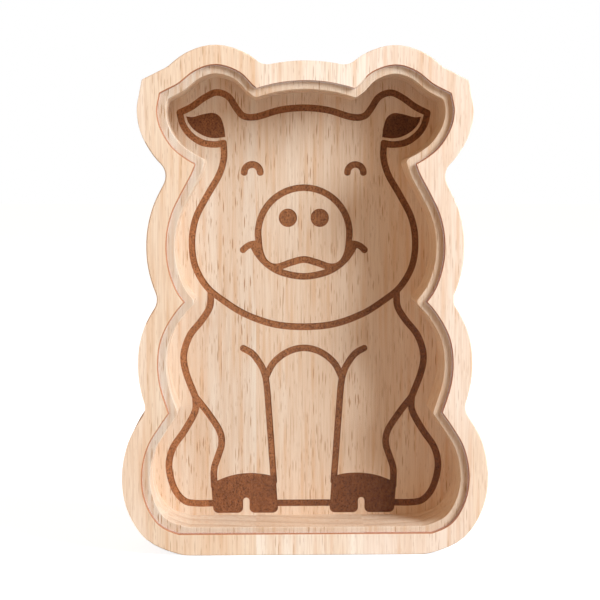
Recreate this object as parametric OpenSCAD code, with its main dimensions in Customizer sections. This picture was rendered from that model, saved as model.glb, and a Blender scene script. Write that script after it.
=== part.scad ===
// Pig-shaped wooden money box: a block glued up from upright staves and milled out from the front,
// with an engraved back wall, a coin slot in the crown and a clear pane that lifts out to empty it.
// The front faces -Y and the base stands on z = 0. Outlines are drawn in x and z.

/* [Block] */
// Thickness of the block from front to back
block_depth = 35; // [32:0.5:45]
// Width of the rim between the pane and the outer edge
rim_width = 8; // [6:0.5:9]
// Height of the rim under the pane
base_rim = 9; // [8:0.5:10]
// Radius in the outer notches at neck, waist and hip
notch_radius = 7; // [2:0.5:8]
// Width of one stave of the glued-up board
stave_width = 45; // [44:0.5:46]
// Place of the first glue line to the right of the middle
glue_line = 24.5; // [23:0.5:26]

/* [Pocket] */
// Thickness of the back wall, which carries the engraving
back_wall = 7; // [5:0.5:9]
// Width of the ledge that the pane rests on
ledge_width = 3.5; // [3:0.5:4]
// Radius that the cutter leaves in the corners of the pocket
cutter_radius = 2; // [1:0.5:3]
// Radius on the tips of the pane's step and of the block
corner_radius = 1; // [0.5:0.1:2]

/* [Pane] */
// Thickness of the clear pane, which is also the depth of its step
pane_thickness = 2; // [1.5:0.5:3]
// Gap all round the pane
pane_gap = 0.3; // [0.1:0.1:0.5]

/* [Engraving] */
// Width of the engraved lines
line_width = 2.7; // [1.5:0.1:3]
// Depth of the engraving
engrave_depth = 0.3; // [0.2:0.1:1]

/* [Coin slot] */
// Length of the coin slot, along X
slot_length = 36; // [30:1:38]
// Width of the coin slot
slot_width = 5; // [4.5:0.5:6]

/* [Hidden] */
$fn = 32;

front_y = -block_depth / 2;
back_y = block_depth / 2;
ledge_y = front_y + pane_thickness;
panel_y = back_y - back_wall;
slot_y = (ledge_y + panel_y) / 2;
floor_z = rim_width + ledge_width;
far_x = 100;        // beyond the block on either side
top_z = 220;        // above the ears
past = 1;           // how far a cutter runs past a face
steps = 5;          // straight pieces between two points of a curve
arc_steps = 24;     // straight pieces in an arc
hair = 0.05;        // half the width of a stroke's hairline before it is widened

// Glue lines, from left to right.
glue_x = [for (i = [-2:1]) glue_line + i * stave_width];

// Right half of the pocket's outline from the crown down to the floor, one list between two corners.
crown_z = 192.7;
ear_root = [20.5, 189.1];
ear_tip = [56.5, 188.6];
neck = [41, 163.9];
waist = [45.4, 105.3];
hip = [52.8, 59];
ear_top = [ear_root, [24, 191.7], [29, 196.6], [36.5, 199], [43.5, 197], [50, 192], ear_tip];
ear_side = [ear_tip, [57.3, 183.5], [56, 177.6], [52, 171.2], [46.5, 166.8], neck];
cheek = [neck, [43.5, 157], [48, 148.5], [51.8, 140.5], [53.7, 131.6], [53.3, 121.6], [50.3, 112.2], waist];
shoulder = [waist, [51, 99], [55.8, 90.5], [57.5, 81.6], [56.7, 71.5], hip];
haunch = [hip, [58.3, 51], [62.5, 43.5], [64.5, 33.6], [63.3, 24], [58.5, 15.7], [50.5, 12], [46, floor_z]];

// Centre lines of the engraved strokes, right half.
// Those that start at x = 0 are joined to their mirror image.
crown_line = [[0, 186.3], [10, 185.4], [20, 182.5], [25.5, 182.7], [28.5, 185.8], [32, 190.9], [37, 192.7],
              [42, 190.6], [47.5, 186.7], [52.6, 184.2]];
ear_line = [[52.6, 184.2], [51.4, 179.4], [48.4, 175], [43.5, 171.7], [38, 170.8], [34.1, 171.4]];
face_line = [[0, 92.9], [13, 94.1], [25, 98.4], [34, 104], [41.3, 110], [46.4, 119], [47.7, 129.5],
             [46, 139.6], [41, 149.3], [36, 158], [34, 165], [34.1, 171.4]];
body_line = [[39.8, 107.5], [40.3, 101.5], [43.8, 95.7], [48.9, 89.2], [51.5, 81], [50.5, 73.2],
             [46.5, 62.6]];
haunch_line = [[46.5, 62.6], [46.8, 56.5], [51.3, 48.2], [56.4, 40.6], [58.1, 32.5], [55.9, 23.2],
               [51.6, 17.8], [46.5, 16.6], [38.9, 16.6]];
outer_leg_line = [[46.5, 62.6], [41.2, 55.8], [36.3, 48.1], [35.4, 42.5], [37, 37], [38.7, 31.5], [38.7, 24]];
inner_leg_line = [[16.4, 71], [15.6, 64], [14.4, 46.5], [12.9, 26]];
chest_line = [[0, 83.8], [7, 82.1], [13, 77.4], [16.4, 71]];
arm_line = [[16.4, 71], [18, 75.6], [21.8, 81.1], [26, 83.7]];
lip_line = [[0, 121.8], [5.5, 120.5], [11.5, 118.6], [16, 120], [18.7, 125], [19.6, 132.9]];
smile_line = [[0, 114.5], [7, 115.5], [12.5, 117.6], [17.2, 121.2], [20, 124.7], [21.8, 128]];
dimple_line = [[20.4, 128.6], [22.5, 128.3], [24.4, 127.3], [26, 125.9]];
base_line_z = 16.6;
snout_z = 132.9;
snout_radius = 19.6;
snout_overlap = 3;  // degrees that the snout's arc runs past its ends, into the lip line
nostril = [6.8, 139.6];
nostril_radius = 3.8;
eye = [22, 158.9];
eye_radius = 3.4;

// Filled patches of the engraving.
inner_ear_top = [[33.5, 174], [34, 178], [35.5, 182.2], [38.5, 184], [43, 183.4], [47, 182.3], [49.8, 182.5]];
inner_ear_low = [[49.8, 182.5], [48.9, 179.9], [46.2, 176.7], [42, 174.3], [38, 173.5], [33.5, 174]];
hoof_top = [[12.1, 27.3], [15, 28.7], [20.5, 29.5], [27, 29.3], [33, 28], [39.9, 25.2]];
hoof_x = [11.1, 38.9];
hoof_z = 12.4;
hoof_corner = 2.2;
cleft_x = 24.85;
cleft_width = 3;
cleft_top = 19;

// Smooth curve through a list of points. Each end continues the way its last two points run.
function bend(a, b, c, d, t) =
    (2 * b + (c - a) * t + (2 * a - 5 * b + 4 * c - d) * t * t + (3 * b - a - 3 * c + d) * t * t * t) / 2;
function with_ends(p) = concat([2 * p[0] - p[1]], p, [2 * p[len(p) - 1] - p[len(p) - 2]]);
function through(q) =
    [for (i = [1:len(q) - 3], s = [0:steps - 1]) bend(q[i - 1], q[i], q[i + 1], q[i + 2], s / steps)];
function curve(p) = concat(through(with_ends(p)), [p[len(p) - 1]]);
function arc(centre, radius, from, to) =
    [for (i = [0:arc_steps]) let (a = from + (to - from) * i / arc_steps) centre + radius * [cos(a), sin(a)]];

function mirrored(p) = [for (i = [len(p) - 1:-1:0]) [-p[i][0], p[i][1]]];
function tail(p) = [for (i = [1:len(p) - 1]) p[i]];
function across(p) = concat(mirrored(p), tail(p));

// The crown between the ears is one arc.
crown_rise = crown_z - ear_root[1];
crown_radius = (pow(ear_root[0], 2) + pow(crown_rise, 2)) / (2 * crown_rise);
crown_half = asin(ear_root[0] / crown_radius);
crown = arc([0, crown_z - crown_radius], crown_radius, 90 + crown_half, 90 - crown_half);
flank = concat(curve(ear_top), curve(ear_side), curve(cheek), curve(shoulder), curve(haunch));

// Pocket outline with its corners still sharp. The step and the block are offset from it.
module pocket_corners() polygon(concat(crown, flank, mirrored(flank)));

module pocket_outline()
    offset(r = -cutter_radius) offset(r = 2 * cutter_radius) offset(r = -cutter_radius) pocket_corners();

// Grown by a width, with the outer corners only slightly rounded.
module grown(width) offset(r = corner_radius) offset(delta = width - corner_radius) pocket_corners();

module step_outline() intersection() {
    grown(ledge_width);
    translate([-far_x, base_rim]) square([2 * far_x, top_z]);
}

module block_outline()
    offset(r = -notch_radius) offset(r = notch_radius) grown(ledge_width + rim_width);

// Thin line along a list of points, which the offset in strokes() turns into a stroke with round ends.
function normal(p, i) = let (d = p[min(i + 1, len(p) - 1)] - p[max(i - 1, 0)]) [-d[1], d[0]] / norm(d);
function beside(p, gap) = [for (i = [0:len(p) - 1]) p[i] + gap * normal(p, i)];
function reversed(p) = [for (i = [len(p) - 1:-1:0]) p[i]];

module hairline(p) polygon(concat(beside(p, hair), reversed(beside(p, -hair))));

module both_sides() {
    children();
    mirror([1, 0]) children();
}

module strokes() offset(r = line_width / 2 - hair) {
    for (p = [crown_line, face_line, chest_line, lip_line, smile_line]) hairline(curve(across(p)));
    hairline(arc([0, snout_z], snout_radius, -snout_overlap, 180 + snout_overlap));
    both_sides() {
        for (p = [ear_line, body_line, haunch_line, outer_leg_line, inner_leg_line, arm_line, dimple_line])
            hairline(curve(p));
        hairline(arc(eye, eye_radius, 0, 180));
    }
    hairline([[-hoof_x[0], base_line_z], [hoof_x[0], base_line_z]]);
}

module inner_ear() polygon(concat(curve(inner_ear_top), tail(curve(inner_ear_low))));

module cleft() translate([cleft_x, cleft_top - cleft_width / 2]) {
    circle(d = cleft_width);
    translate([-cleft_width / 2, -cleft_top]) square([cleft_width, cleft_top]);
}

module hoof() offset(r = hoof_corner) offset(delta = -hoof_corner) difference() {
    polygon(concat(curve(hoof_top), [[hoof_x[1], hoof_z], [hoof_x[0], hoof_z]]));
    cleft();
}

module engraving() {
    strokes();
    both_sides() {
        inner_ear();
        hoof();
        translate(nostril) circle(nostril_radius);
    }
}

// Stands a flat shape up in the x-z plane, from y0 back to y1.
module standing(y0, y1) translate([0, y1, 0]) rotate([90, 0, 0]) linear_extrude(y1 - y0) children();

module coin_slot() translate([0, slot_y, crown_z - cutter_radius - past]) linear_extrude(top_z - crown_z) {
    square([slot_length - slot_width, slot_width], center = true);
    for (side = [-1, 1]) translate([side * (slot_length - slot_width) / 2, 0]) circle(d = slot_width);
}

// Keeps what lies between two upright cuts.
module between(x0, x1) intersection() {
    children();
    translate([x0, -past]) square([x1 - x0, top_z]);
}

// Part of the block from x0 to x1 with the step for the pane cut into its front.
module strip(x0, x1) difference() {
    standing(front_y, back_y) between(x0, x1) block_outline();
    standing(front_y - past, ledge_y) between(x0 - past, x1 + past) step_outline();
}

// A strip that reaches the pocket and carries part of the engraving.
module stave(x0, x1) difference() {
    strip(x0, x1);
    standing(front_y - past, panel_y) between(x0 - past, x1 + past) pocket_outline();
    standing(front_y - past, panel_y + engrave_depth) between(x0 - past, x1 + past) engraving();
}

module stave_far_left() color("burlywood") strip(-far_x, glue_x[0]);

module stave_left() color("wheat") stave(glue_x[0], glue_x[1]);

module stave_centre() color("bisque") difference() {
    stave(glue_x[1], glue_x[2]);
    coin_slot();
}

module stave_right() color("wheat") stave(glue_x[2], glue_x[3]);

module stave_far_right() color("burlywood") strip(glue_x[3], far_x);

module front_pane() color([0.9, 0.95, 1, 0.3])
    standing(front_y, ledge_y) offset(delta = -pane_gap) step_outline();

stave_far_left();
stave_left();
stave_centre();
stave_right();
stave_far_right();
front_pane();
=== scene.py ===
"""Looks of the pig-shaped wooden money box: sanded and engraved staves behind a clear pane. Metres, +Z up."""

import math

import bmesh
import bpy
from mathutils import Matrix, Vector
from mathutils.bvhtree import BVHTree


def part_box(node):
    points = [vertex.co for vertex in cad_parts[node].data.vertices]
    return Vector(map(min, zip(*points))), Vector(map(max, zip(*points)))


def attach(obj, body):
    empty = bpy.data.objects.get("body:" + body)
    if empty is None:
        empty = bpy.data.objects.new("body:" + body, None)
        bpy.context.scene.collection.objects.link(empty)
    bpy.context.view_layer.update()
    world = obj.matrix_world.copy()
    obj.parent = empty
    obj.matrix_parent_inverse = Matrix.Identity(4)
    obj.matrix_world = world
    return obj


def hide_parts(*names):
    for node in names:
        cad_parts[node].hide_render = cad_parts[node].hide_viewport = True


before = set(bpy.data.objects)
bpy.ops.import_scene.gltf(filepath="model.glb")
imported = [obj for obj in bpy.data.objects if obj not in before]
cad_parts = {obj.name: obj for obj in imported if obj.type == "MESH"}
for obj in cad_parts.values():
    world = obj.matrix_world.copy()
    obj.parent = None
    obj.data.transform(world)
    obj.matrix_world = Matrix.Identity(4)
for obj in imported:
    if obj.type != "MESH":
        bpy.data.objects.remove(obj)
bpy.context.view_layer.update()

MM = 0.001
TINY = 0.01 * MM

# Levels in the block, from its front face to its back, read from the frame where a node shows them.
FRONT_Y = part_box("front_pane")[0].y
LEDGE_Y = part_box("front_pane")[1].y
BACK_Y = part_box("stave_left")[1].y
BACK_WALL = 7 * MM
PANEL_Y = BACK_Y - BACK_WALL

# The glue faces between the staves. A face's normal lies along an axis when this much of it does.
INNER_STAVES = ("stave_left", "stave_centre", "stave_right", "stave_far_right")
GLUE_X = sorted({round(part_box(s)[0].x, 6) for s in INNER_STAVES})
GLUE_FACE_NORMAL = 0.999
PANE_FACE_NORMAL = 0.9

# Cleaning up the mesh: corners this close are merged, and faces this flat to each other become one.
MERGE_DISTANCE = 0.02 * MM
FLAT_ANGLE = math.radians(0.4)

# Ridges sharper than this are eased, and corners sharper than this keep the cutter's web.
RIDGE_ANGLE = math.radians(40)
CORNER_ANGLE = math.radians(60)

# Edges flatter than these are shaded smooth.
WOOD_SMOOTH_ANGLE = math.radians(40)
PANE_SMOOTH_ANGLE = math.radians(30)

# Widths of the eased edges, and how many faces round off a wooden one. The ring round each stroke is a single
# face, over which the burn fades out.
OUTER_EASE = 0.55 * MM
STEP_EASE = 0.2 * MM
POCKET_EASE = 0.3 * MM
SLOT_EASE = 0.5 * MM
SCORCH_RING = 0.16 * MM
PANE_CHAMFER = 0.25 * MM
EASE_FACES = 3

# The pane's back stands off the ledge by this, so that the two surfaces don't coincide.
PANE_REST_GAP = 0.04 * MM

# The engraving ends above this depth below the panel.
ENGRAVING_REACH = 1 * MM

# The cutter leaves a small web in the corner of the step. All it cuts within reach of the pane is browned,
# and painted darker as painted shade of the narrow gap round the pane.
STEP_WEB = 0.28 * MM
STEP_REACH = 1 * MM
STEP_BURN_AND_SHADE = 0.5

# Filled patches are burnt darker than the strokes. A patch on its own is wide and low, and thick for its
# outline. The hooves run into the strokes, so they are found by their place, with a soft limit.
STROKE_SCORCH = 1.0
PATCH_SCORCH = 1.3
PATCH_SIZE = 12 * MM
PATCH_THICKNESS = 1.7 * MM
HOOF_TOP = 31 * MM
HOOF_TOP_BLUR = 4 * MM
HOOF_SIDE = 40 * MM
HOOF_SIDE_BLUR = 2 * MM
HOOF_SHARE = 0.8


# ---------------------------------------------------------------- meshes

def cad_copy(node):
    """The node's mesh as a bmesh with shared corners and whole flat faces."""
    bm = bmesh.new()
    bm.from_mesh(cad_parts[node].data)
    bmesh.ops.remove_doubles(bm, verts=bm.verts, dist=MERGE_DISTANCE)
    bmesh.ops.dissolve_degenerate(bm, edges=bm.edges, dist=TINY)
    bmesh.ops.dissolve_limit(bm, angle_limit=FLAT_ANGLE, verts=bm.verts, edges=bm.edges)
    bm.normal_update()
    return bm


def is_sharp_ridge(edge):
    return len(edge.link_faces) == 2 and edge.is_convex and edge.calc_face_angle(0) > RIDGE_ANGLE


def on_glue_face(edge, glue_x):
    """True for the rim of a glue face, where two staves meet flush."""
    return any(
        all(abs(v.co.x - x) < TINY for v in edge.verts)
        and any(abs(f.normal.x) > GLUE_FACE_NORMAL for f in edge.link_faces)
        for x in glue_x
    )


def level(edge):
    """The y that the whole edge lies at, or None."""
    a, b = (v.co.y for v in edge.verts)
    return a if abs(a - b) < TINY else None


def wall_depth(edge):
    """How far the deeper of the edge's two faces runs along Y."""
    return max(max(v.co.y for v in f.verts) - min(v.co.y for v in f.verts) for f in edge.link_faces)


def ease_for(edge):
    """Width of the eased edge that this edge of a stave gets."""
    y = level(edge)
    if y is None:
        return SLOT_EASE
    if abs(y - BACK_Y) < TINY or abs(y - FRONT_Y) < TINY:
        return STEP_EASE if wall_depth(edge) < 2 * (LEDGE_Y - FRONT_Y) else OUTER_EASE
    if abs(y - LEDGE_Y) < TINY:
        return POCKET_EASE
    if abs(y - PANEL_Y) < TINY:
        return SCORCH_RING
    return SLOT_EASE


def chains(edges):
    """Splits edges into lists of edges that are joined end to end."""
    left, found = set(edges), []
    while left:
        chain, front = [], [left.pop()]
        while front:
            edge = front.pop()
            chain.append(edge)
            near = {e for v in edge.verts for e in v.link_edges if e in left}
            left -= near
            front += sorted(near, key=lambda e: e.index)
        found.append(sorted(chain, key=lambda e: e.index))
    return sorted(found, key=lambda c: c[0].index)


def fill_step_corner(bm):
    """Leaves the cutter's web where the step's wall meets the ledge."""
    corner = [e for e in bm.edges if len(e.link_faces) == 2 and not e.is_convex and level(e) is not None]
    corner = [e for e in corner if abs(level(e) - LEDGE_Y) < TINY and e.calc_face_angle(0) > CORNER_ANGLE]
    bmesh.ops.bevel(bm, geom=corner, offset=STEP_WEB, affect="EDGES", segments=1, clamp_overlap=True)
    bm.normal_update()


def ease_edges(bm, width_of, glue_x=(), faces=EASE_FACES):
    """Rounds every sharp ridge by its own width, one chain of edges at a time."""
    bm.edges.index_update()
    ridges = [e for e in bm.edges if is_sharp_ridge(e) and not on_glue_face(e, glue_x)]
    for width in sorted({width_of(e) for e in ridges}):
        for chain in chains([e for e in ridges if e.is_valid and width_of(e) == width]):
            bmesh.ops.bevel(
                bm,
                geom=[e for e in chain if e.is_valid],
                offset=width,
                offset_type="OFFSET",
                affect="EDGES",
                segments=1 if width == SCORCH_RING else faces,
                profile=0.5,
                clamp_overlap=True,
            )


def finished(bm, name, smooth_below):
    """Turns the bmesh into an object with smooth walls, flat faces and crisp inner corners."""
    mesh = bpy.data.meshes.new(name)
    bm.to_mesh(mesh)
    bm.free()
    for leftover in ("custom_normal", "sharp_edge", "sharp_face"):
        if leftover in mesh.attributes:
            mesh.attributes.remove(mesh.attributes[leftover])
    piece = bpy.data.objects.new(name, mesh)
    bpy.context.scene.collection.objects.link(piece)
    mesh.shade_smooth()
    mesh.set_sharp_from_angle(angle=smooth_below)
    weighted = piece.modifiers.new("flat_faces_stay_flat", "WEIGHTED_NORMAL")
    weighted.keep_sharp = True
    depsgraph = bpy.context.evaluated_depsgraph_get()
    piece.data = bpy.data.meshes.new_from_object(piece.evaluated_get(depsgraph))
    piece.modifiers.clear()
    return piece


def burn_and_step_shade_of(face, mesh, pane_shape):
    """How burnt the face's corners are, one number for each. In the step the number also paints the shade of
    the gap round the pane.
    """
    xs, depths, heights = zip(*(mesh.vertices[v].co for v in face.vertices))
    outline = sum((mesh.vertices[b].co - mesh.vertices[a].co).length for a, b in face.edge_keys)
    is_patch = max(xs) - min(xs) > PATCH_SIZE > max(heights) - min(heights)
    is_patch = is_patch and face.area / outline > PATCH_THICKNESS
    engraved = PATCH_SCORCH if is_patch else STROKE_SCORCH
    if max(depths) > LEDGE_Y + TINY:
        return [engraved if PANEL_Y + TINY < y < PANEL_Y + ENGRAVING_REACH else 0.0 for y in depths]
    # In the step, the value browns the cut faces and paints the shade of the gap round the pane.
    in_step = max(depths) - min(depths) > TINY and pane_shape.find_nearest(face.center)[3] < STEP_REACH
    return [STEP_BURN_AND_SHADE if in_step else 0.0] * len(depths)


def mark_burn_and_step_shade(piece):
    """Writes how burnt each face corner is: most in the engraving, less in the step, where it also paints the
    shade of the gap round the pane, 0 on plain wood.
    """
    mesh = piece.data
    pane = cad_copy("front_pane")
    pane_shape = BVHTree.FromBMesh(pane)
    pane.free()
    burn_and_step_shade = mesh.attributes.new("burn_and_step_shade", "FLOAT", "CORNER")
    burnt = [value for face in mesh.polygons for value in burn_and_step_shade_of(face, mesh, pane_shape)]
    burn_and_step_shade.data.foreach_set("value", burnt)


# ---------------------------------------------------------------- shader nodes

WHITE = (1, 1, 1, 1)


class Nodes:
    """Short calls for building the nodes of a material or of the world."""

    def __init__(self, owner, output="ShaderNodeOutputMaterial"):
        self.owner = owner
        owner.use_nodes = True
        self.tree = owner.node_tree
        self.tree.nodes.clear()
        self.output = self.add(output)

    def add(self, kind, settings=None, **inputs):
        node = self.tree.nodes.new(kind)
        for key, value in (settings or {}).items():
            setattr(node, key, value)
        for key, value in inputs.items():
            self.put(node, key.replace("_", " "), value)
        return node

    def put(self, node, key, value):
        """Links an output to the input, or sets it to a constant. The key is the input's name or number."""
        socket = node.inputs[int(key)] if key.isdigit() else node.inputs[key]
        if isinstance(value, bpy.types.NodeSocket):
            self.tree.links.new(value, socket)
        else:
            socket.default_value = value

    def math(self, operation, a, b=0.0, clamp=False):
        node = self.add("ShaderNodeMath", {"operation": operation, "use_clamp": clamp})
        self.put(node, "0", a)
        self.put(node, "1", b)
        return node.outputs[0]

    def plus(self, a, b):
        return self.math("ADD", a, b)

    def minus(self, a, b):
        return self.math("SUBTRACT", a, b)

    def times(self, a, b):
        return self.math("MULTIPLY", a, b)

    def larger(self, a, b):
        return self.math("MAXIMUM", a, b)

    def absolute(self, a):
        return self.math("ABSOLUTE", a)

    def pick(self, flag, off, on):
        """The first value where the flag is 0 and the second where it is 1."""
        return self.plus(off, self.times(flag, self.minus(on, off)))

    def remap(self, value, low, high, to_low=0.0, to_high=1.0):
        """A smooth step from to_low, at low, to to_high, at high."""
        node = self.add("ShaderNodeMapRange", {"interpolation_type": "SMOOTHSTEP"})
        self.put(node, "Value", value)
        self.put(node, "From Min", low)
        self.put(node, "From Max", high)
        self.put(node, "To Min", to_low)
        self.put(node, "To Max", to_high)
        return node.outputs[0]

    def coordinates(self, kind):
        return self.add("ShaderNodeTexCoord").outputs[kind]

    def vector(self, operation, a, b, output="Vector"):
        node = self.add("ShaderNodeVectorMath", {"operation": operation})
        self.put(node, "0", a)
        self.put(node, "1", b)
        return node.outputs[output]

    def axes(self, point):
        """The vector's X, Y and Z."""
        node = self.add("ShaderNodeSeparateXYZ")
        self.put(node, "0", point)
        return node.outputs["X"], node.outputs["Y"], node.outputs["Z"]

    def noise(self, point, scale, detail=2.0, rough=0.5):
        node = self.add("ShaderNodeTexNoise", Scale=1.0, Detail=detail, Roughness=rough)
        self.put(node, "Vector", self.vector("MULTIPLY", point, scale))
        return node.outputs["Fac"]

    def mix(self, factor, a, b, blend="MIX"):
        """Mixes two colours."""
        node = self.add("ShaderNodeMix", {"data_type": "RGBA", "blend_type": blend})
        self.put(node, "0", factor)
        self.put(node, "6", a)
        self.put(node, "7", b)
        return node.outputs[2]

    def mix_shaders(self, factor, a, b):
        node = self.add("ShaderNodeMixShader")
        self.put(node, "0", factor)
        self.put(node, "1", a.outputs[0])
        self.put(node, "2", b.outputs[0])
        return node

    def finish(self, surface):
        """Links the shader to the output and gives back the material or world."""
        self.put(self.output, "Surface", surface.outputs[0])
        return self.owner


def tinted(colour, tint):
    return tuple(c * t for c, t in zip(colour, tint)) + (1,)


# ---------------------------------------------------------------- wood

# Plain wood, from pale to dark.
CREAM = (0.83, 0.655, 0.485, 1)
PALE_CREAM = (0.83, 0.69, 0.535, 1)
HONEY = (0.73, 0.49, 0.305, 1)
FIBRE_BROWN = tinted(HONEY, (0.8, 0.72, 0.62))
STREAK_BROWN = tinted(HONEY, (0.93, 0.78, 0.6))
END_RING_BROWN = (0.50, 0.29, 0.14, 1)
VESSEL_BROWN = (0.43, 0.20, 0.075, 1)

# How strongly each layer of the grain shows.
BROAD_SHARE = 0.38
MIDDLE_SHARE = 0.42
RING_SHARE = 0.22
FINE_SHARE = 0.3
STREAK_SHARE = 0.42
VESSEL_SHARE = 0.9
SHORT_LINE_SHARE = 0.6
THREAD_SHARE = 0.6
END_RING_SHARE = 0.5
END_GRAIN_CALM = 0.6

# Noises: waves per metre along X, Y and Z, with the grain along Z, and the values between which each works.
BROAD_FIBRES = (55, 55, 2.2)
BROAD_RANGE = (0.36, 0.64)
MIDDLE_FIBRES = (260, 260, 9)
MIDDLE_RANGE = (0.38, 0.66)
FINE_FIBRES = (1500, 1500, 55)
FINE_RANGE = (0.42, 0.66)
PORE_CROWDS = (75, 75, 12)
CROWD_RANGE = (0.3, 0.58)
LEAST_CROWD = 0.45
RING_WANDER = (9, 9, 5)

# Growth rings: how many in a metre, by how many they wander, and how narrow the dark part of each is.
RINGS_PER_METRE = 95
WANDERED_RINGS = 2.6
LATE_WOOD_POWER = 3.0

# Kinds of vessel line: cells per metre across and along the grain, the line's size in its cell, the share of
# cells that have one, and the share of the line's size within which it is fully dark.
LONG_LINES = dict(across_scale=780, along_scale=66, size=0.22, share=0.5)
SHORT_LINES = dict(across_scale=1000, along_scale=150, size=0.22, share=0.5)
STREAKS = dict(across_scale=330, along_scale=21, size=0.42, share=0.8, core=0.15)
THREADS = dict(across_scale=600, along_scale=13, size=0.12, share=0.5)
LINE_FADE = 0.25

# Deeper in the wood the lines slip along the grain, by this many cells in a metre.
SLIP_PER_METRE = 370.0

# How much of its normal a side face has along X, and an end-grain face along Z.
SIDE_NORMAL = 0.7
END_NORMAL_RANGE = (0.75, 0.95)

# The front is sanded finer than the rest. This fades out between two depths below the front face.
SANDED_FULLY = 0.3 * MM
SANDED_NO_MORE = 1.2 * MM
SANDED_PORE_LOSS = 0.38

# Burnt wood: its edge, its floor, and the tint where it is burnt more deeply, in patches. Towards +X a
# painted shade darkens the char, for the side where the pocket's wall shades the panel.
# In the step this edge colour is browning and painted shade of the gap round the pane.
EDGE_BURN_AND_SHADE = (0.42, 0.13, 0.03, 1)
EDGE_BURN_AND_SHADE_SHARE = 0.86
EDGE_BURN_AND_SHADE_RANGE = (0.0, 0.5)
CHAR = (0.455, 0.178, 0.064, 1)
DARK_CHAR = (0.335, 0.126, 0.045, 1)
CHAR_SCORCH_RANGE = (0.45, STROKE_SCORCH)
MOTTLE = (700, 700, 320)
MOTTLE_RANGE = (0.3, 0.72)
SOOT = (0.11, 0.038, 0.014, 1)
SOOT_SHARE = 0.85
GRIT = (1500, 1500, 1300)
GRIT_RANGE = (0.47, 0.63)
PATCH_TINT = (0.62, 0.56, 0.52, 1)
RIGHT_SIDE_SHADE_TINT = (0.58, 0.55, 0.53, 1)
RIGHT_SIDE_SHADE_X = (-50 * MM, 60 * MM)

# Relief and gloss.
FIBRE_RELIEF = 0.25
VESSEL_RELIEF = 0.8
SOOT_RELIEF = 1.6
RELIEF_STRENGTH = 0.35
RELIEF_HEIGHT = 0.12 * MM
GLOSS_NOISE_RANGE = (0.3, 0.7)
WOOD_ROUGHNESS = (0.5, 0.62)
SCORCH_ROUGHNESS = 0.25
WOOD_SPECULAR = 0.32


class WoodFace:
    """Where a point of the surface lies: across the grain, into the wood, and along each axis."""

    def __init__(self, n, place):
        normal_x, _, normal_z = n.axes(n.coordinates("Normal"))
        self.x, self.y, self.z = n.axes(place)
        sideways = n.math("GREATER_THAN", n.absolute(normal_x), SIDE_NORMAL)
        self.across = n.pick(sideways, self.x, self.y)
        self.depth = n.pick(sideways, self.y, self.x)
        self.end_grain = n.remap(n.absolute(normal_z), *END_NORMAL_RANGE)


def late_wood(n, place, point, pith, figure):
    """The dark part of the growth rings round the pith, which wander a little along the trunk."""
    wander = n.noise(point, RING_WANDER)
    from_pith = n.vector("DISTANCE", n.vector("MULTIPLY", place, (1, 1, 0)), pith, "Value")
    radius = n.plus(n.times(from_pith, RINGS_PER_METRE), n.times(wander, WANDERED_RINGS * figure))
    return n.math("POWER", n.math("FRACT", radius), LATE_WOOD_POWER)


def line_kind(n, face, start, shift, across_scale, along_scale, size, share, core=0.4):
    """One kind of vessel line: thin, short, open pores that run with the grain."""
    flat = n.add("ShaderNodeCombineXYZ")
    n.put(flat, "X", n.plus(n.times(face.across, across_scale), start))
    along = n.plus(n.times(face.z, along_scale), n.times(face.depth, SLIP_PER_METRE))
    n.put(flat, "Y", n.plus(along, shift))
    cells = n.add("ShaderNodeTexVoronoi", {"voronoi_dimensions": "2D"}, Scale=1.0, Randomness=1.0)
    n.put(cells, "Vector", flat.outputs[0])
    chance = n.add("ShaderNodeSeparateColor")
    n.put(chance, "Color", cells.outputs["Color"])
    line = n.remap(cells.outputs["Distance"], size, size * core)
    return n.times(line, n.remap(chance.outputs[0], 1 - share, 1 + LINE_FADE - share))


def vessel_lines(n, face, point, offset, pores, sanded):
    """The wide streaks, and all the darker lines together. Every kind and stave starts at its own place."""
    shift = offset[2] * 100
    long_lines = line_kind(n, face, 3.1 + offset[0] * 50, shift, **LONG_LINES)
    short_lines = line_kind(n, face, 7.7 + offset[1] * 50, shift, **SHORT_LINES)
    streaks = line_kind(n, face, 1.3 + offset[0] * 30, shift, **STREAKS)
    threads = line_kind(n, face, 5.5 + offset[1] * 40, shift, **THREADS)
    crowd = n.remap(n.noise(point, PORE_CROWDS, detail=1.0), *CROWD_RANGE, LEAST_CROWD, 1.0)
    lines = n.times(n.larger(long_lines, n.times(short_lines, SHORT_LINE_SHARE)), crowd)
    lines = n.larger(lines, n.times(threads, THREAD_SHARE))
    still_open = n.minus(pores, n.times(sanded, SANDED_PORE_LOSS * pores))
    lines = n.math("MULTIPLY", lines, still_open, clamp=True)
    return streaks, n.times(lines, n.minus(1.0, face.end_grain))


def charred(n, face, point, burn_and_step_shade, grit):
    """The engraving's floor: mottled char with sooty specks, darker in the patches, and painted shade towards
    +X.
    """
    char = n.mix(n.remap(n.noise(point, MOTTLE), *MOTTLE_RANGE), CHAR, DARK_CHAR)
    char = n.mix(n.remap(grit, *GRIT_RANGE, 0.0, SOOT_SHARE), char, SOOT)
    low = n.remap(face.z, HOOF_TOP, HOOF_TOP - HOOF_TOP_BLUR, 0.0, HOOF_SHARE)
    inward = n.remap(n.absolute(face.x), HOOF_SIDE + HOOF_SIDE_BLUR, HOOF_SIDE)
    patch = n.larger(n.times(low, inward), n.remap(burn_and_step_shade, STROKE_SCORCH, PATCH_SCORCH))
    char = n.mix(patch, char, PATCH_TINT, "MULTIPLY")
    # Painted shade: the char darkens towards +X, where the pocket's right wall shades the panel.
    return n.mix(n.remap(face.x, *RIGHT_SIDE_SHADE_X), char, RIGHT_SIDE_SHADE_TINT, "MULTIPLY")


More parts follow.
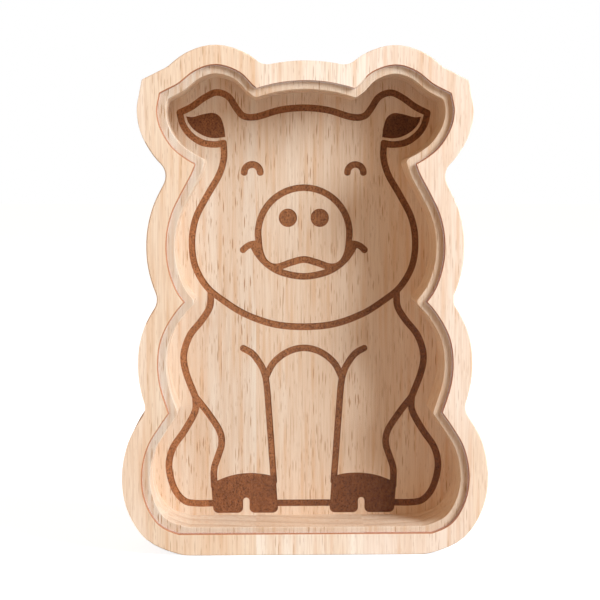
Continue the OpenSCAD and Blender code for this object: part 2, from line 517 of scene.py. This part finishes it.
def wood(name, light, sanding, offset, pith, pores, figure):
    """Pale oiled hardwood with the grain along Z: rings, fibres, vessel lines and burnt engraving."""
    n = Nodes(bpy.data.materials.new(name))
    place = n.coordinates("Object")
    point = n.vector("ADD", place, offset)
    face = WoodFace(n, place)
    sanded = n.remap(face.y, FRONT_Y + SANDED_FULLY, FRONT_Y + SANDED_NO_MORE, 1.0, 0.0)

    late = late_wood(n, place, point, pith, figure)
    broad = n.noise(point, BROAD_FIBRES)
    middle = n.noise(point, MIDDLE_FIBRES, detail=3.0, rough=0.6)
    fine = n.noise(point, FINE_FIBRES, rough=0.65)
    streaks, vessel = vessel_lines(n, face, point, offset, pores, sanded)

    tone = n.times(n.remap(broad, *BROAD_RANGE), BROAD_SHARE)
    tone = n.plus(tone, n.times(n.remap(middle, *MIDDLE_RANGE), MIDDLE_SHARE))
    tone = n.plus(tone, n.times(n.times(late, figure), RING_SHARE))
    tone = n.times(tone, n.minus(1.0, n.times(face.end_grain, END_GRAIN_CALM)))
    plain = n.mix(n.math("MINIMUM", tone, 1.0), light, HONEY)
    plain = n.mix(sanded, plain, sanding, "MULTIPLY")
    plain = n.mix(n.times(n.remap(fine, *FINE_RANGE), FINE_SHARE), plain, FIBRE_BROWN)
    plain = n.mix(n.times(streaks, STREAK_SHARE), plain, STREAK_BROWN)
    plain = n.mix(n.times(vessel, VESSEL_SHARE), plain, VESSEL_BROWN)
    plain = n.mix(n.times(n.times(late, END_RING_SHARE), face.end_grain), plain, END_RING_BROWN)

    # Burning turns plain wood orange first, at its edge, and then to char. In the step this orange is both
    # browning and painted shade of the gap round the pane.
    burn_and_step_shade = n.add("ShaderNodeAttribute", {"attribute_name": "burn_and_step_shade"}).outputs["Fac"]
    grit = n.noise(point, GRIT, detail=3.0, rough=0.75)
    edge = n.mix(EDGE_BURN_AND_SHADE_SHARE, plain, EDGE_BURN_AND_SHADE)
    colour = n.mix(n.remap(burn_and_step_shade, *EDGE_BURN_AND_SHADE_RANGE), plain, edge)
    colour = n.mix(n.remap(burn_and_step_shade, *CHAR_SCORCH_RANGE), colour, charred(n, face, point, burn_and_step_shade, grit))

    height = n.minus(n.times(fine, FIBRE_RELIEF), n.times(vessel, VESSEL_RELIEF))
    height = n.plus(height, n.times(n.times(grit, burn_and_step_shade), SOOT_RELIEF))
    bump = n.add("ShaderNodeBump", Strength=RELIEF_STRENGTH, Distance=RELIEF_HEIGHT, Height=height)
    rough = n.remap(middle, *GLOSS_NOISE_RANGE, *WOOD_ROUGHNESS)
    rough = n.plus(rough, n.times(burn_and_step_shade, SCORCH_ROUGHNESS))
    surface = n.add("ShaderNodeBsdfPrincipled", Base_Color=colour, Roughness=rough, Normal=bump.outputs[0])
    n.put(surface, "Specular IOR Level", WOOD_SPECULAR)
    return n.finish(surface)


# ---------------------------------------------------------------- clear acrylic

ACRYLIC_IOR = 1.49
ACRYLIC_TINT = (0.975, 0.975, 0.97, 1)
MIRROR_POWER = 1.6
SMEARS = (38, 38, 60)
SMEAR_RANGE = (0.35, 0.75)
POLISHED_ROUGHNESS = (0.02, 0.07)

SAW_MARKS = (900, 4000, 900)
SAW_RANGE = (0.3, 0.7)
SAWN_ROUGHNESS = (0.3, 0.5)
FROST = (0.90, 0.92, 0.92, 1)
PALE_FROST = (0.98, 0.98, 0.98, 1)
FROST_ALPHA = 0.2


def clear_face():
    """Polished clear acrylic: what is behind shows through, and only the Fresnel share mirrors."""
    n = Nodes(bpy.data.materials.new("clear_acrylic"))
    through = n.add("ShaderNodeBsdfTransparent", Color=ACRYLIC_TINT)
    smear = n.noise(n.coordinates("Object"), SMEARS, detail=3.0)
    gloss = n.add("ShaderNodeBsdfGlossy", Color=WHITE)
    n.put(gloss, "Roughness", n.remap(smear, *SMEAR_RANGE, *POLISHED_ROUGHNESS))
    # Seen from inside, the face mirrors as much as from outside, because a thin pane doesn't trap light.
    backward = n.add("ShaderNodeNewGeometry").outputs["Backfacing"]
    index = n.minus(ACRYLIC_IOR, n.times(backward, ACRYLIC_IOR - 1 / ACRYLIC_IOR))
    fresnel = n.add("ShaderNodeFresnel", IOR=index)
    mirrored = n.math("POWER", fresnel.outputs[0], MIRROR_POWER)
    return n.finish(n.mix_shaders(mirrored, through, gloss))


def pane_edge():
    """The pane's cut edge: frosted by the saw, so it gathers light."""
    n = Nodes(bpy.data.materials.new("cut_acrylic_edge"))
    saw = n.noise(n.coordinates("Object"), SAW_MARKS)
    surface = n.add("ShaderNodeBsdfPrincipled", Alpha=FROST_ALPHA, IOR=ACRYLIC_IOR)
    n.put(surface, "Base Color", n.mix(saw, FROST, PALE_FROST))
    n.put(surface, "Roughness", n.remap(saw, *SAW_RANGE, *SAWN_ROUGHNESS))
    return n.finish(surface)


# ---------------------------------------------------------------- pieces

# What differs from stave to stave: the pale colour of its wood, the tint of its sanded front, the shift of
# its pattern and the place of its pith in metres, and how strongly its pores and rings show.
STAVES = {
    "stave_far_left": dict(
        light=CREAM,
        sanding=(1.10, 1.16, 1.20, 1),
        offset=(0.31, 0.12, 0.05),
        pith=(-0.09, 0.05, 0),
        pores=0.5,
        figure=1.5,
    ),
    "stave_left": dict(
        light=PALE_CREAM,
        sanding=(1.03, 0.985, 0.91, 1),
        offset=(0.07, 0.41, 0.23),
        pith=(-0.075, -0.14, 0),
        pores=1.0,
        figure=0.8,
    ),
    "stave_centre": dict(
        light=CREAM,
        sanding=(1.09, 1.19, 1.27, 1),
        offset=(0.53, 0.02, 0.37),
        pith=(0.02, 0.16, 0),
        pores=0.95,
        figure=0.6,
    ),
    "stave_right": dict(
        light=CREAM,
        sanding=(1.04, 1.08, 1.13, 1),
        offset=(0.19, 0.27, 0.61),
        pith=(0.09, -0.2, 0),
        pores=0.85,
        figure=0.7,
    ),
    "stave_far_right": dict(
        light=CREAM,
        sanding=(1.06, 1.11, 1.14, 1),
        offset=(0.43, 0.33, 0.17),
        pith=(0.02, 0.12, 0),
        pores=0.6,
        figure=1.0,
    ),
}


def make_stave(node, grain):
    bm = cad_copy(node)
    fill_step_corner(bm)
    ease_edges(bm, ease_for, GLUE_X)
    piece = finished(bm, node + "_wood", WOOD_SMOOTH_ANGLE)
    mark_burn_and_step_shade(piece)
    piece.data.materials.append(wood("wood_" + node, **grain))
    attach(piece, "block")
    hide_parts(node)


def make_pane():
    bm = cad_copy("front_pane")
    for vert in bm.verts:
        if vert.co.y > LEDGE_Y - TINY:
            vert.co.y -= PANE_REST_GAP
    ease_edges(bm, lambda edge: PANE_CHAMFER, faces=1)
    piece = finished(bm, "clear_pane", PANE_SMOOTH_ANGLE)
    piece.data.materials.append(clear_face())
    piece.data.materials.append(pane_edge())
    for face in piece.data.polygons:
        face.material_index = 0 if abs(face.normal.y) > PANE_FACE_NORMAL else 1
    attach(piece, "pane")
    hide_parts("front_pane")


for node, grain in STAVES.items():
    make_stave(node, grain)
make_pane()


# ---------------------------------------------------------------- studio

FLOOR_RADIUS = 12
FLOOR_SIDES = 96
FLOOR_COLOUR = (0.5, 0.5, 0.5, 1)
FLOOR_ROUGHNESS = 0.9
FLOOR_GLOW = 0.88
FLOOR_GLOW_COLOUR = (0.975, 0.985, 1, 1)

# The sky's light, near the horizon and overhead, and the upward directions between which it changes.
SIDE_SKY = 0.13
TOP_SKY = 0.55
SKY_RISE = (-0.1, 0.9)
SKY_COLOUR = (1.0, 0.67, 0.44, 1)

LIGHT_TARGET = (0, 0, 0.1)

CAMERA_PLACE = (-0.0199, -0.6875, 0.154)
CAMERA_DOWN_DEGREES = 4.06
CAMERA_TURN_DEGREES = -1.5
LENS_MM = 98.04
SENSOR_MM = 36


def to_camera(n):
    return n.add("ShaderNodeLightPath").outputs["Is Camera Ray"]


def make_floor():
    """Wide pale table that glows to the camera, so that it runs into the white surround."""
    bm = bmesh.new()
    bmesh.ops.create_circle(bm, cap_ends=True, segments=FLOOR_SIDES, radius=FLOOR_RADIUS)
    mesh = bpy.data.meshes.new("floor")
    bm.to_mesh(mesh)
    bm.free()
    floor = bpy.data.objects.new("floor", mesh)
    bpy.context.scene.collection.objects.link(floor)
    n = Nodes(bpy.data.materials.new("pale_table"))
    surface = n.add("ShaderNodeBsdfPrincipled", Base_Color=FLOOR_COLOUR, Roughness=FLOOR_ROUGHNESS)
    n.put(surface, "Emission Color", FLOOR_GLOW_COLOUR)
    n.put(surface, "Emission Strength", n.times(to_camera(n), FLOOR_GLOW))
    mesh.materials.append(n.finish(surface))


def make_light(name, place, size, power, colour):
    data = bpy.data.lights.new(name, "AREA")
    data.shape = "RECTANGLE"
    data.size, data.size_y = size
    data.energy = power
    data.color = colour
    lamp = bpy.data.objects.new(name, data)
    lamp.location = place
    toward = Vector(LIGHT_TARGET) - lamp.location
    lamp.rotation_euler = toward.to_track_quat("-Z", "Y").to_euler()
    bpy.context.scene.collection.objects.link(lamp)


def make_world():
    """Soft studio surround: bright overhead, dim near the horizon, and white where the camera sees it."""
    n = Nodes(bpy.data.worlds.new("studio"), "ShaderNodeOutputWorld")
    upward = n.axes(n.coordinates("Generated"))[2]
    sky = n.add("ShaderNodeBackground", Color=SKY_COLOUR)
    n.put(sky, "Strength", n.remap(upward, *SKY_RISE, SIDE_SKY, TOP_SKY))
    seen = n.add("ShaderNodeBackground", Color=WHITE, Strength=1.0)
    bpy.context.scene.world = n.finish(n.mix_shaders(to_camera(n), sky, seen))


def make_camera():
    data = bpy.data.cameras.new("camera")
    data.lens = LENS_MM
    data.sensor_width = SENSOR_MM
    camera = bpy.data.objects.new("camera", data)
    camera.location = CAMERA_PLACE
    camera.rotation_euler = (math.radians(90 - CAMERA_DOWN_DEGREES), 0, math.radians(CAMERA_TURN_DEGREES))
    bpy.context.scene.collection.objects.link(camera)
    bpy.context.scene.camera = camera


make_floor()
make_light("key", place=(1.2, -0.82, 0.80), size=(0.55, 0.78), power=35.5, colour=(0.95, 1.08, 1.27))
make_light("reflector", place=(-1.1, -0.75, 0.3), size=(0.9, 0.9), power=3.6, colour=(1.0, 0.78, 0.58))
make_world()
bpy.context.scene.view_settings.view_transform = "Standard"
make_camera()
